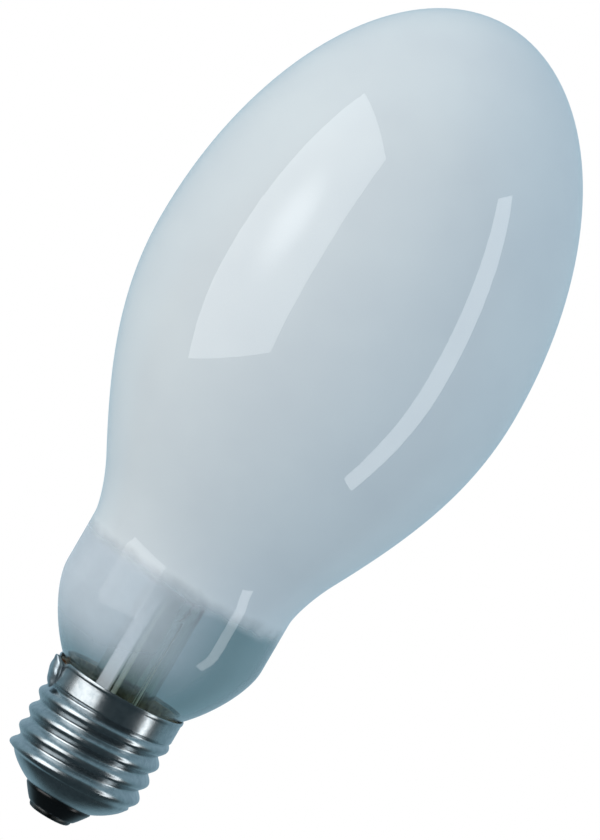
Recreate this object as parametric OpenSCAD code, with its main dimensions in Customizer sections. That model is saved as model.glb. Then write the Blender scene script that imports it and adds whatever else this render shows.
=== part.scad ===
// High intensity discharge lamp: a coated ellipsoidal bulb on a 27 mm screw cap.
// It stands on its centre contact with +Z to the dome. The origin is on the lamp's axis,
// at the outer face of the centre contact. All sizes are in millimetres.

/* [Bulb] */
// Length from the centre contact to the tip of the dome
lamp_len = 169; // [164:1:190]
// Largest diameter of the bulb
bulb_d = 75; // [70:0.5:90]
// Height of the widest ring above the contact
wide_z = 107; // [103:1:117]
// Wall of the blown glass
glass_t = 1; // [0.7:0.1:1.4]
// Powder coating on the inside of the glass, drawn thicker than the real film
coat_t = 0.3; // [0.2:0.05:0.6]
// Height where the coating starts, inside the neck
coat_z = 49.5; // [46:0.5:52]

/* [Neck] */
// Outside diameter of the neck
neck_d = 41.3; // [39:0.1:44]
// Height where the shoulder turns into the straight neck
neck_low_z = 43; // [40:0.5:45]
// Height where the straight neck turns into the flare
neck_high_z = 53; // [52.5:0.5:55]
// Where the flare's curve turns the other way, as a share of the way out from neck to bulb
flare_share = 0.21; // [0.18:0.005:0.26]
// Height of that place above the contact
flare_z = 63.6; // [61:0.2:67]
// Where the slopes of the flare and the widest ring meet, as a share of the height between them
slope_share = 0.576; // [0.45:0.005:0.65]
// Diameter of the glass where it enters the cap
mouth_d = 24.8; // [24.5:0.05:24.8]
// Outside diameter of the glass inside the cap
root_d = 21.6; // [20.8:0.1:21.8]

/* [Screw cap] */
// Height of the cap's rim above the contact
cap_len = 27.4; // [26.5:0.1:29]
// Thickness of the cap's sheet metal
cap_t = 0.35; // [0.25:0.05:0.4]
// Diameter over the crests of the rolled thread
thread_d = 26.4; // [26.1:0.05:26.5]
// Depth of the rolled thread
thread_depth = 1.15; // [0.9:0.05:1.2]
// Height gained in one turn of the thread
thread_pitch = 3.629; // [3.5:0.001:3.8]
// Angle that the thread is turned by
thread_turn = 6.6; // [0:0.1:360]
// Diameter of the plain collar above the thread
collar_d = 25.9; // [25.9:0.05:26.2]
// Height of the plain collar, up to the rim
collar_h = 4.4; // [4.2:0.1:5.5]
// How far the rim is rolled outwards
lip_out = 0.15; // [0.1:0.05:0.3]
// Depth of the nick in the rim where the side lead comes out
nick_depth = 0.7; // [0.6:0.05:0.8]
// Diameter of the mouth at the foot of the sheet metal
foot_d = 13.9; // [13:0.1:15]
// Height of that mouth
foot_z = 4.2; // [3.8:0.1:5]
// Height of the shoulder between the mouth and the thread
shoulder_h = 3.6; // [3.2:0.1:4]
// Facets round the cap
cap_facets = 48; // [40:4:60]

/* [Contact and insulator] */
// Diameter of the insulator's end face
insulator_d = 9.8; // [9.6:0.1:11]
// Diameter of the centre contact
contact_d = 8.6; // [8:0.1:8.8]
// Thickness of the centre contact
contact_t = 1; // [0.6:0.1:1.4]
// Hole through the contact and the insulator for the centre lead
lead_hole_d = 2.2; // [1.8:0.1:2.8]

/* [Stem] */
// Height of the seal between the stem and the neck
seal_z = 13; // [12.8:0.1:15]
// Outside diameter of the stem tube
stem_d = 12.2; // [11.8:0.1:13.5]
// Wall of the stem
stem_t = 1; // [0.8:0.05:1.1]
// Height where the tube starts to flatten
taper_z = 44; // [42:0.5:45]
// Height of the flattened press above that
press_rise = 12; // [11:0.5:13]
// Thickness of the press
press_t = 4.8; // [4.4:0.1:5.4]
// Outside diameter of the exhaust tube
exhaust_d = 4; // [3.4:0.1:4.2]
// Wall of the exhaust tube
exhaust_t = 0.8; // [0.6:0.05:1]
// Distance of each lead from the axis
lead_x = 4; // [3.6:0.1:4.2]
// Diameter of the lead to the centre contact
centre_lead_d = 0.8; // [0.5:0.05:1]
// Diameter of the lead to the side of the cap
side_lead_d = 0.4; // [0.3:0.02:0.42]

/* [Frame] */
// Diameter of the frame wire and the support lead
wire_d = 1.5; // [1.2:0.05:1.8]
// Distance of the frame's legs from the axis
leg_x = 13; // [12:0.25:15]
// Height of the frame's cross wire above the arc tube, as a share of the height above the press
frame_share = 0.08; // [0.078:0.001:0.09]
// Thickness of the straps and ribbons
strap_t = 0.4; // [0.3:0.05:0.5]
// Height of the straps round the pinches
strap_h = 5; // [4:0.5:6]
// Height of the ribbons that join two wires
ribbon_h = 2.5; // [2:0.25:3]
// Width of the spring that braces the frame in the dome
spring_w = 3; // [2:0.5:5]
// Place on the dome where the spring touches, up from the widest ring
spring_angle = 50; // [47:1:54]

/* [Arc tube] */
// Height of the arc tube's lower end above the press
arc_rise = 20.5; // [20.25:0.25:22]
// Outside diameter of the arc tube
arc_d = 12.5; // [11.5:0.1:13]
// Wall of the arc tube
arc_t = 1.1; // [0.9:0.1:1.4]
// Length of its round part, as a share of the height above the press
arc_share = 0.35; // [0.32:0.01:0.37]
// Length of each pinch
pinch_len = 11; // [10:0.5:12]
// Width of each pinch
pinch_w = 14; // [13:0.25:15]
// Thickness of each pinch between its ribs
pinch_t = 2.6; // [2.2:0.1:3]
// Diameter of the ribs along the pinch's edges
rib_d = 3.8; // [3.4:0.1:4.4]
// Sideways place of the lower main electrode
lower_x = 1.8; // [1.4:0.1:1.8]
// Sideways place of the starting electrode
starting_x = -3; // [-3.4:0.1:-2.8]
// Diameter of the main electrodes' shafts
shaft_d = 0.8; // [0.6:0.05:1]
// Diameter of the starting electrode
starting_d = 0.5; // [0.4:0.05:0.6]
// Diameter over the coil on a main electrode
coil_d = 2.2; // [1.8:0.1:2.4]
// Turns of that coil
coil_turns = 5; // [3:1:6]
// How far a main electrode reaches in from its pinch
electrode_reach = 8.5; // [8:0.25:10]
// Width of the sealing foils
foil_w = 2.2; // [1.8:0.1:2.4]
// Thickness of the sealing foils, drawn thicker than the real foil
foil_t = 0.1; // [0.05:0.01:0.2]
// Diameter of the leads that leave the pinches
arc_lead_d = 1; // [0.8:0.05:1.1]
// Length of those leads outside the pinch
arc_lead_len = 5.5; // [5.5:0.25:7]

/* [Starting resistor] */
// Diameter of the ceramic body
resistor_d = 4; // [3:0.1:4.6]
// Length of the ceramic body
resistor_len = 10; // [8:0.5:10.5]
// Diameter of its leads
resistor_lead_d = 0.8; // [0.6:0.05:1]

/* [Hidden] */
$fn = 64;

// Clearances
fit = 0.05; // between pieces that slip together
facet_fit = 0.1; // between a round piece and the faceted cap
spring_gap = 0.15; // between the spring's tips and the coating
lap = 1.5; // how far a wire lies on a foil
wire_gap = 0.2; // between the side lead or the exhaust tube and the glass round it
past = 1; // how far a cutting shape runs past what it cuts

// Radii and heights of the bulb
root_r = root_d / 2;
neck_r = neck_d / 2;
bulb_r = bulb_d / 2;
mouth_z = cap_len - 0.1;
mouth_angle = 45;
root_z = mouth_z - 5.8;
curve_pull = 0.55; // share of the way to where two end tangents meet
body_pull_low = 0.6;
body_pull_high = 0.85;

// Radii and heights of the cap
collar_r = collar_d / 2;
collar_inner_r = collar_r - cap_t;
thread_root_r = thread_d / 2 - thread_depth;
thread_low_z = foot_z + shoulder_h;
thread_high_z = cap_len - collar_h;
shoulder_step = 0.3; // how far inside the thread's root the shoulder ends
shoulder_low_angle = 66; // between the shoulder and the axis, at the foot
shoulder_high_angle = 34; // and at the thread
thread_fade = 0.8; // height over which the thread rises from the plain sheet
thread_fullness = 0.75; // under 1 the crests are broader than the roots
rows_per_pitch = 9;
lip_h = 0.9;
cement_h = 3.6;

// Heights of the stem
press_top_z = taper_z + press_rise;
press_flat_z = taper_z + 5;
cavity_top_z = taper_z + 3.5;
joint_z = taper_z + 7.5; // where the thin outer leads meet the inner ones
lead_turn_z = seal_z - stem_t - 1.8; // where the outer leads turn under the stem
stem_r = stem_d / 2;
stem_curve_h = 7;

// Heights of the arc tube and its frame
inside_h = lamp_len - press_top_z;
arc_len = arc_share * inside_h;
arc_low_z = press_top_z + arc_rise;
arc_z = arc_low_z + pinch_len + arc_len / 2;
arc_high_z = arc_z + arc_len / 2 + pinch_len;
arc_end_h = 5; // height of the arc tube's rounded ends
foil_from = 2.5; // from the pinch's outer end
foil_to = pinch_len - 2;
strap_from = 3; // from the pinch's outer end
frame_top_z = arc_high_z + frame_share * inside_h;
leg_end_z = arc_low_z + strap_from - 1;
lead_end_z = arc_low_z - 4; // where the support lead ends, and the resistor below it
starting_back = 4; // how far the starting electrode stays behind the main one
resistor_x = (starting_x - leg_x) / 2;
resistor_high_z = lead_end_z;
resistor_low_z = resistor_high_z - resistor_len;
frame_bend_z = resistor_low_z - 3;
bend_r = 3.5;
side_x = collar_inner_r - side_lead_d / 2 - facet_fit / 2;
inner_side_x = root_r + side_lead_d / 2 + wire_gap;

// Curves in the plane of radius and height
function unit(v) = v / norm(v);
function heading(angle) = [sin(angle), cos(angle)];
function cross2(a, b) = a[0] * b[1] - a[1] * b[0];

// The four control points of a curve that leaves p at one angle and reaches q at another
function blend(p, p_angle, q, q_angle, p_pull, q_pull) =
    let (
        u = heading(p_angle),
        v = heading(q_angle),
        corner = p + u * cross2(q - p, v) / cross2(u, v)
    )
    [p, p + p_pull * (corner - p), q + q_pull * (corner - q), q];

function on_curve(c, t) =
    pow(1 - t, 3) * c[0] + 3 * t * pow(1 - t, 2) * c[1] + 3 * t * t * (1 - t) * c[2] + pow(t, 3) * c[3];
function along_curve(c, t) =
    pow(1 - t, 2) * (c[1] - c[0]) + 2 * t * (1 - t) * (c[2] - c[1]) + t * t * (c[3] - c[2]);

// Points along a curve from its first to its last step of n, moved inwards by the given amount
function inset_curve(c, n, last, inset) = [
    for (i = [0:last])
        let (v = unit(along_curve(c, i / n)))
        on_curve(c, i / n) - inset * [v[1], -v[0]]
];

function reversed(list) = [for (i = [len(list) - 1:-1:0]) list[i]];
function mix(a, b, share) = a + (b - a) * share;

// The bulb's outline, in the stretches that the real glass is blown in
flare_point = [mix(neck_r, bulb_r, flare_share), flare_z];
flare_angle = atan2(bulb_r - flare_point[0], slope_share * (wide_z - flare_z));
root_curve = blend([root_r, root_z], 0, [mouth_d / 2, mouth_z], mouth_angle, curve_pull, curve_pull);
shoulder_curve = blend([mouth_d / 2, mouth_z], mouth_angle, [neck_r, neck_low_z], 0, curve_pull, curve_pull);
flare_curve = blend([neck_r, neck_high_z], 0, flare_point, flare_angle, curve_pull, curve_pull);
body_curve = blend(flare_point, flare_angle, [bulb_r, wide_z], 0, body_pull_low, body_pull_high);

function dome_point(angle, inset) =
    let (dome_h = lamp_len - wide_z, n = unit([cos(angle) / bulb_r, sin(angle) / dome_h]))
    [bulb_r * cos(angle), lamp_len - dome_h + dome_h * sin(angle)] - inset * n;

function lower_outline(inset) = concat(
    [[root_r - inset, seal_z]],
    inset_curve(root_curve, 5, 4, inset),
    inset_curve(shoulder_curve, 10, 10, inset)
);
function upper_outline(inset) = concat(
    inset_curve(flare_curve, 8, 7, inset),
    inset_curve(body_curve, 14, 13, inset),
    [for (i = [0:22]) dome_point(90 * i / 22, inset)]
);

module bulb_envelope() {
    color([0.82, 0.87, 0.89, 0.35])
        rotate_extrude()
            polygon(concat(
                lower_outline(0),
                upper_outline(0),
                reversed(upper_outline(glass_t)),
                reversed(lower_outline(glass_t))
            ));
}

// A film of powder that ends in the clear neck
module phosphor_coating() {
    color([0.77, 0.82, 0.84])
        rotate_extrude()
            polygon(concat(
                [[neck_r - glass_t, coat_z]],
                upper_outline(glass_t),
                reversed(upper_outline(glass_t + coat_t)),
                [[neck_r - glass_t - coat_t, coat_z]]
            ));
}

// The sheet metal of the cap: foot, shoulder, rolled right-hand thread, collar and rolled rim
function ramp(x) = let (c = min(1, max(0, x))) c * c * (3 - 2 * c);
shoulder_end = [thread_root_r - shoulder_step, thread_low_z];
cap_shoulder = blend(
    [foot_d / 2, foot_z], shoulder_low_angle, shoulder_end, shoulder_high_angle, curve_pull, curve_pull
);
function thread_share(z) =
    ramp((z - thread_low_z) / thread_fade) * ramp((thread_high_z - z) / thread_fade);
function crest(turns) = pow((1 + cos(360 * turns)) / 2, thread_fullness);
function plain_r(z) =
    mix(shoulder_end[0], collar_r, (z - thread_low_z) / (thread_high_z - thread_low_z));
function thread_r(z, angle) = mix(
    plain_r(z),
    thread_root_r + thread_depth * crest(z / thread_pitch + (thread_turn - angle) / 360),
    thread_share(z)
);
function nick(angle) = nick_depth * ramp(2 - abs(angle - 180) * cap_facets / 360);
function collar_side(angle, inset) =
    let (edge_z = cap_len - lip_h, drop = nick(angle), out = lip_out)
    [
        [collar_r - inset, edge_z - drop],
        [collar_r + out * 0.6 - inset, cap_len - lip_h * 0.72 - drop],
        [collar_r + out - inset, cap_len - lip_h * 0.45 - drop],
        [collar_r + out - inset * 0.85, cap_len - lip_h * 0.2 - drop],
        [collar_r + out * 0.5 - inset * 0.55, cap_len - drop]
    ];
function cap_side(angle, inset) =
    let (rows = ceil((thread_high_z - thread_low_z) / thread_pitch * rows_per_pitch))
    concat(
        inset_curve(cap_shoulder, 6, 5, inset),
        [
            for (i = [0:rows])
                let (z = mix(thread_low_z, thread_high_z, i / rows))
                [thread_r(z, angle) - inset, z + (i == 0 ? inset * 0.4 : 0)]
        ],
        collar_side(angle, inset)
    );
function cap_loop(angle) = concat(cap_side(angle, 0), reversed(cap_side(angle, cap_t)));

module cap_shell() {
    loops = [for (j = [0:cap_facets - 1]) cap_loop(360 * j / cap_facets)];
    n = len(loops[0]);
    points = [
        for (j = [0:cap_facets - 1])
            for (p = loops[j])
                [p[0] * cos(360 * j / cap_facets), p[0] * sin(360 * j / cap_facets), p[1]]
    ];
    faces = [
        for (j = [0:cap_facets - 1])
            for (i = [0:n - 1])
                let (
                    here = j * n,
                    next = ((j + 1) % cap_facets) * n,
                    up = (i + 1) % n
                )
                for (f = [[here + i, here + up, next + up], [here + i, next + up, next + i]]) f
    ];
    color([0.72, 0.77, 0.80]) polyhedron(points, faces);
}

// Black glass moulded into the foot of the cap
module cap_insulator() {
    end_r = insulator_d / 2;
    round_r = 0.5;
    throat_r = inset_curve(cap_shoulder, 6, 0, cap_t)[0][0] - facet_fit;
    hole_r = lead_hole_d / 2;
    plug = inset_curve(cap_shoulder, 6, 5, cap_t + facet_fit);
    color([0.06, 0.06, 0.07])
        rotate_extrude()
            polygon(concat(
                [[hole_r, contact_t], [end_r - round_r, contact_t]],
                [for (a = [-60:30:0]) [end_r - round_r, contact_t + round_r] + round_r * [cos(a), sin(a)]],
                [[throat_r, foot_z - 0.5], [throat_r, foot_z + cap_t]],
                plug,
                [[plug[5][0] - 1, thread_low_z], [hole_r, thread_low_z]]
            ));
}

module centre_contact() {
    rim_r = contact_d / 2;
    round_w = 0.9; // width of the rounded part of its rim
    color([0.72, 0.66, 0.50])
        rotate_extrude()
            polygon([
                [lead_hole_d / 2, 0],
                [rim_r - round_w, 0],
                [rim_r - round_w * 0.45, contact_t * 0.12],
                [rim_r - round_w * 0.1, contact_t * 0.4],
                [rim_r, contact_t * 0.75],
                [rim_r, contact_t],
                [lead_hole_d / 2, contact_t]
            ]);
}

// Solder fills the contact's hole round the end of the lead
module contact_solder() {
    color([0.75, 0.76, 0.78])
        difference() {
            cylinder(d = lead_hole_d, h = contact_t);
            translate([0, 0, -past]) cylinder(d = centre_lead_d, h = contact_t + 2 * past);
        }
}

// Wires bent in the lamp's plane of radius and height, each swept with a round section
function rounded(path, r, n) = concat(
    [path[0]],
    [
        for (i = [1:len(path) - 2])
            let (p = path[i], a = p + r * unit(path[i - 1] - p), b = p + r * unit(path[i + 1] - p))
            for (k = [0:n])
                let (u = k / n)
                (1 - u) * (1 - u) * a + 2 * u * (1 - u) * p + u * u * b
    ],
    [path[len(path) - 1]]
);

module bent_wire(path, d, r, sides) {
    route = rounded(path, r, 5);
    last = len(route) - 1;
    function tangent(k) = unit(unit(route[min(k + 1, last)] - route[k == last ? k - 1 : k])
        + unit(route[k == 0 ? 1 : k] - route[max(k - 1, 0)]));
    points = [
        for (k = [0:last])
            let (t = tangent(k))
            for (m = [0:sides - 1])
                let (a = 360 * m / sides, out = d / 2 * sin(a))
                [route[k][0] - out * t[1], d / 2 * cos(a), route[k][1] + out * t[0]]
    ];
    faces = concat(
        [[for (m = [0:sides - 1]) m]],
        [[for (m = [sides - 1:-1:0]) last * sides + m]],
        [
            for (k = [0:last - 1])
                for (m = [0:sides - 1])
                    let (here = k * sides, next = here + sides, turn = (m + 1) % sides)
                    for (f = [[here + m, next + m, next + turn], [here + m, next + turn, here + turn]]) f
        ]
    );
    polyhedron(points, faces);
}

// From the press, down past the exhaust tube and through the insulator to the contact
module centre_lead() {
    color([0.72, 0.45, 0.30])
        bent_wire(
            [[lead_x, joint_z], [lead_x, lead_turn_z], [0, lead_turn_z], [0, 0]],
            centre_lead_d, 1.4, 10
        );
}

// From the press, out under the stem, up between glass and cap, and over the rim in its nick
module side_lead() {
    over_z = cap_len - nick_depth + side_lead_d / 2 + 0.1;
    outside_x = collar_r + lip_out + side_lead_d / 2 + 0.05;
    color([0.72, 0.45, 0.30])
        bent_wire(
            [
                [-lead_x, joint_z],
                [-lead_x, lead_turn_z],
                [-inner_side_x, lead_turn_z],
                [-inner_side_x, thread_high_z + 0.6],
                [-side_x, over_z - 1.3],
                [-side_x, over_z],
                [-outside_x, over_z],
                [-outside_x, over_z - 2]
            ],
            side_lead_d, 0.3, 8
        );
}

// Cement between the glass and the collar, round the side lead
module cement_ring() {
    ring_r = collar_inner_r * cos(180 / cap_facets) - fit;
    low_z = thread_high_z + 0.2;
    color([0.45, 0.45, 0.40])
        difference() {
            translate([0, 0, low_z]) cylinder(r = ring_r, h = cement_h);
            rotate_extrude()
                polygon(concat(
                    [[0, low_z - past], [root_r, low_z - past]],
                    inset_curve(root_curve, 5, 5, 0),
                    [[mouth_d / 2 + past, mouth_z + past], [0, mouth_z + past]]
                ));
            side_lead();
        }
}

// An ellipsoid with its poles up and down
module bead(size, sides, rings) {
    points = concat(
        [[0, 0, -size[2] / 2]],
        [
            for (k = [1:rings - 1])
                for (m = [0:sides - 1])
                    let (up = 180 * k / rings - 90, a = 360 * m / sides)
                    [size[0] / 2 * cos(up) * cos(a), size[1] / 2 * cos(up) * sin(a), size[2] / 2 * sin(up)]
        ],
        [[0, 0, size[2] / 2]]
    );
    top = len(points) - 1;
    faces = [
        for (m = [0:sides - 1])
            let (turn = (m + 1) % sides)
            for (f = concat(
                [[0, 1 + m, 1 + turn]],
                [[top, top - sides + turn, top - sides + m]],
                [
                    for (k = [0:rings - 3])
                        let (here = 1 + k * sides, next = here + sides)
                        for (g = [[here + m, next + m, next + turn], [here + m, next + turn, here + turn]]) g
                ]
            )) f
    ];
    polyhedron(points, faces);
}

// A bead of solder over the end of the side lead, on the outside of the collar
module side_solder() {
    size = [2.2, 4.4, 6.4]; // across the collar, round it and along it
    lean = 12; // its top stands off the collar
    proud = 0.2; // its middle lies this far outside the collar's face
    over = 1; // how far it stands over the nicked rim
    color([0.70, 0.74, 0.77])
        difference() {
            translate([-collar_r - proud, 0, cap_len - nick_depth - size[2] / 2 + over])
                rotate([0, -lean, 0])
                    bead(size, 18, 10);
            rotate_extrude($fn = 240)
                polygon([
                    [0, 0],
                    [collar_r, 0],
                    [collar_r, cap_len - lip_h - nick_depth],
                    [collar_r + lip_out, cap_len - lip_h - nick_depth],
                    [collar_r + lip_out, cap_len + past],
                    [0, cap_len + past]
                ]);
            side_lead();
        }
}

// The stem: a flare that is sealed to the neck, a tube, and a flat press that holds the leads
module flattened(r, low_z, high_z, half_t, top_z) {
    intersection() {
        translate([0, 0, low_z]) cylinder(r = r, h = top_z - low_z);
        rotate([90, 0, 90])
            translate([0, 0, -r - past])
                linear_extrude(2 * (r + past))
                    polygon([
                        [-r, low_z], [r, low_z],
                        [half_t, high_z], [half_t, top_z], [-half_t, top_z], [-half_t, high_z]
                    ]);
    }
}

module stem() {
    inner_r = stem_r - stem_t;
    cavity_half_t = exhaust_d / 2 + wire_gap;
    blow_r = exhaust_d / 2 - exhaust_t;
    flare_end = [stem_r, seal_z + stem_curve_h];
    flare = blend([root_r - glass_t, seal_z], -90, flare_end, 0, curve_pull, curve_pull);
    inner_flare = inset_curve(flare, 8, 8, stem_t);
    color([0.70, 0.78, 0.80, 0.5])
        difference() {
            union() {
                rotate_extrude()
                    polygon(concat(
                        [[0, seal_z - stem_t], [root_r, seal_z - stem_t], [root_r, seal_z]],
                        inset_curve(flare, 8, 8, 0),
                        [[stem_r, taper_z], [0, taper_z]]
                    ));
                flattened(stem_r, taper_z, press_flat_z, press_t / 2, press_top_z);
            }
            rotate_extrude()
                polygon(concat(
                    [[0, seal_z - stem_t - past], [inner_flare[0][0], seal_z - stem_t - past]],
                    inner_flare,
                    [[inner_r, taper_z], [0, taper_z]]
                ));
            flattened(inner_r, taper_z, cavity_top_z, cavity_half_t, cavity_top_z);
            for (lead = [[lead_x, centre_lead_d], [-lead_x, side_lead_d]]) {
                translate([lead[0], 0, cavity_top_z - past])
                    cylinder(d = lead[1], h = past + joint_z - cavity_top_z);
                translate([lead[0], 0, joint_z]) cylinder(d = wire_d, h = press_top_z - joint_z + past);
            }
            translate([0, 0, cavity_top_z - past]) cylinder(r = blow_r, h = past + 2);
            translate([0, 0, cavity_top_z + 1]) rotate([-90, 0, 0]) cylinder(r = blow_r * 0.8, h = stem_r);
        }
}

// The tube that the bulb is pumped through, tipped off below the stem
module exhaust_tube() {
    r = exhaust_d / 2;
    tip_z = seal_z - stem_t;
    color([0.70, 0.78, 0.80, 0.5])
        rotate_extrude()
            polygon(concat(
                [[r, cavity_top_z], [r - exhaust_t, cavity_top_z]],
                [[r - exhaust_t, tip_z + 2.4], [0, tip_z + 1.4], [0, tip_z]],
                [for (a = [-75:15:0]) [r * cos(a), tip_z + r + r * sin(a)]]
            ));
}

// One wire up one side, across the top and down the other side of the arc tube
module frame_wire() {
    color([0.66, 0.68, 0.70])
        bent_wire(
            [
                [-lead_x, joint_z],
                [-lead_x, frame_bend_z],
                [-leg_x, frame_bend_z],
                [-leg_x, frame_top_z],
                [leg_x, frame_top_z],
                [leg_x, leg_end_z]
            ],
            wire_d, bend_r, 12
        );
}

module support_lead() {
    color([0.66, 0.68, 0.70])
        translate([lead_x, 0, joint_z]) cylinder(d = wire_d, h = lead_end_z - joint_z);
}

// A leaf spring on the cross wire, with a rounded tip against each side of the dome
module dome_spring() {
    leaf_t = 0.3;
    tip_r = 0.6;
    flat_x = leg_x + wire_d / 2;
    leaf_z = frame_top_z + wire_d / 2 + leaf_t / 2;
    tip = dome_point(spring_angle, glass_t + coat_t + spring_gap + tip_r);
    arm = tip - [flat_x, leaf_z];
    color([0.62, 0.64, 0.66])
        rotate([90, 0, 0])
            translate([0, 0, -spring_w / 2])
                linear_extrude(spring_w) {
                    translate([-flat_x, leaf_z - leaf_t / 2]) square([2 * flat_x, leaf_t]);
                    for (side = [0, 1])
                        mirror([side, 0]) {
                            translate([flat_x, leaf_z]) circle(d = leaf_t);
                            translate([flat_x, leaf_z])
                                rotate(atan2(arm[1], arm[0]))
                                    translate([0, -leaf_t / 2]) square([norm(arm), leaf_t]);
                            translate(tip) circle(r = tip_r);
                        }
                }
}

// Places a piece at a pinch: z is 0 at the pinch's outer end and grows into the arc tube
module at_lower_pinch(x) {
    translate([x, 0, arc_low_z]) children();
}
module at_upper_pinch(x) {
    translate([x, 0, arc_high_z]) mirror([0, 0, 1]) children();
}

// A wire is cut half-round where it lies on its foil, which is just under the middle of the pinch
module lapped(d, lap_from) {
    difference() {
        children();
        translate([-d, -d, lap_from]) cube([2 * d, d, lap]);
    }
}
module lapped_wire(d, from, to, lap_from) {
    lapped(d, lap_from) translate([0, 0, from]) cylinder(d = d, h = to - from);
}
module electrode_shaft(d, reach) {
    lapped_wire(d, foil_to - lap, pinch_len + reach, foil_to - lap);
}
module pinch_lead(d) {
    lapped_wire(d, -arc_lead_len, foil_from + lap, foil_from);
}
module foil() {
    color([0.55, 0.56, 0.58])
        translate([-foil_w / 2, -foil_t, foil_from]) cube([foil_w, foil_t, foil_to - foil_from]);
}

// A coil wound tight on the shaft, each turn drawn as a ring
module main_electrode() {
    turn_d = (coil_d - shaft_d) / 1.8;
    tip = pinch_len + electrode_reach;
    color([0.35, 0.35, 0.37])
        lapped(shaft_d, foil_to - lap)
            rotate_extrude() {
                translate([0, foil_to - lap]) square([shaft_d / 2, tip - foil_to + lap]);
                for (i = [0:coil_turns - 1])
                    translate([(coil_d - turn_d) / 2, tip - 1 - turn_d * (0.5 + 0.9 * i)]) circle(d = turn_d);
            }
}

// Quartz tube with rounded ends, each pinched flat round its foils
module arc_body(inset) {
    r = arc_d / 2 - inset;
    end_h = arc_end_h - inset;
    straight = arc_len / 2 - arc_end_h;
    rotate_extrude()
        polygon(concat(
            [for (a = [-90:10:0]) [r * cos(a), arc_z - straight + end_h * sin(a)]],
            [for (a = [0:10:90]) [r * cos(a), arc_z + straight + end_h * sin(a)]]
        ));
}
module pinch_section() {
    square([pinch_w - rib_d, pinch_t], center = true);
    for (side = [-1, 1])
        translate([side * (pinch_w - rib_d) / 2, 0]) circle(d = rib_d);
}
module pinch() {
    linear_extrude(pinch_len + 2) pinch_section();
}
module pinch_pocket(d, reach, lead_d) {
    electrode_shaft(d, reach);
    foil();
    pinch_lead(lead_d);
}
module arc_tube() {
    color([0.80, 0.85, 0.88, 0.5])
        difference() {
            union() {
                arc_body(0);
                at_lower_pinch(0) pinch();
                at_upper_pinch(0) pinch();
            }
            arc_body(arc_t);
            at_upper_pinch(0) pinch_pocket(shaft_d, electrode_reach, arc_lead_d);
            at_lower_pinch(lower_x) pinch_pocket(shaft_d, electrode_reach, arc_lead_d);
            at_lower_pinch(starting_x) pinch_pocket(starting_d, electrode_reach - starting_back, starting_d);
        }
}

module upper_electrode() at_upper_pinch(0) main_electrode();
module lower_electrode() at_lower_pinch(lower_x) main_electrode();
module starting_electrode() {
    color([0.35, 0.35, 0.37])
        at_lower_pinch(starting_x) electrode_shaft(starting_d, electrode_reach - starting_back);
}
module upper_foil() at_upper_pinch(0) foil();
module lower_foil() at_lower_pinch(lower_x) foil();
module starting_foil() at_lower_pinch(starting_x) foil();
module upper_lead() {
    color([0.60, 0.61, 0.63]) at_upper_pinch(0) pinch_lead(arc_lead_d);
}
module lower_lead() {
    color([0.60, 0.61, 0.63]) at_lower_pinch(lower_x) pinch_lead(arc_lead_d);
}
module starting_lead() {
    color([0.60, 0.61, 0.63]) at_lower_pinch(starting_x) pinch_lead(starting_d);
}

// A band round a pinch, curled round both legs of the frame
module strap() {
    curl_r = wire_d / 2 + strap_t;
    color([0.64, 0.66, 0.68])
        translate([0, 0, strap_from])
            linear_extrude(strap_h)
                difference() {
                    union() {
                        square([pinch_w + 2 * strap_t, rib_d + 2 * strap_t], center = true);
                        square([2 * leg_x, strap_t], center = true);
                        for (side = [-1, 1])
                            translate([side * leg_x, 0]) circle(r = curl_r);
                    }
                    square([pinch_w + fit, rib_d + fit], center = true);
                    for (side = [-1, 1])
                        translate([side * leg_x, 0]) circle(d = wire_d);
                }
}
module upper_strap() at_upper_pinch(0) strap();
module lower_strap() at_lower_pinch(0) strap();

// A flat ribbon curled round two wires
module ribbon(x1, d1, x2, d2) {
    color([0.64, 0.66, 0.68])
        linear_extrude(ribbon_h)
            difference() {
                union() {
                    translate([x1, 0]) circle(d = d1 + 2 * strap_t);
                    translate([x2, 0]) circle(d = d2 + 2 * strap_t);
                    translate([min(x1, x2), -strap_t / 2]) square([abs(x2 - x1), strap_t]);
                }
                translate([x1, 0]) circle(d = d1);
                translate([x2, 0]) circle(d = d2);
            }
}
module upper_ribbon() {
    translate([0, 0, arc_high_z + 2.4]) ribbon(0, arc_lead_d, -leg_x, wire_d);
}
module lower_ribbon() {
    translate([0, 0, arc_low_z - 4.4 - ribbon_h / 4]) ribbon(lower_x, arc_lead_d, lead_x, wire_d);
}
module starting_ribbon() {
    translate([0, 0, resistor_high_z + 0.8]) ribbon(starting_x, starting_d, resistor_x, resistor_lead_d);
}

module resistor_body() {
    color([0.85, 0.84, 0.80])
        translate([resistor_x, 0, resistor_low_z]) cylinder(d = resistor_d, h = resistor_len);
}

// A pressed metal cup on each end of the ceramic, with a lead welded on
module resistor_end(lead_len) {
    cup_t = 0.25;
    cup_h = 1.6;
    r = resistor_d / 2;
    rotate_extrude()
        polygon([
            [0, lead_len],
            [0, 0],
            [r, 0],
            [r, -cup_h],
            [r + cup_t, -cup_h],
            [r + cup_t, cup_t],
            [resistor_lead_d / 2, cup_t],
            [resistor_lead_d / 2, lead_len]
        ]);
}
module resistor_ends() {
    color([0.66, 0.68, 0.70]) {
        translate([resistor_x, 0, resistor_high_z]) resistor_end(arc_low_z - resistor_high_z - 0.4);
        difference() {
            translate([resistor_x, 0, resistor_low_z])
                mirror([0, 0, 1]) resistor_end(resistor_low_z - frame_bend_z);
            translate([resistor_x - past, 0, frame_bend_z])
                rotate([0, 90, 0]) cylinder(d = wire_d, h = 2 * past);
        }
    }
}

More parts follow.
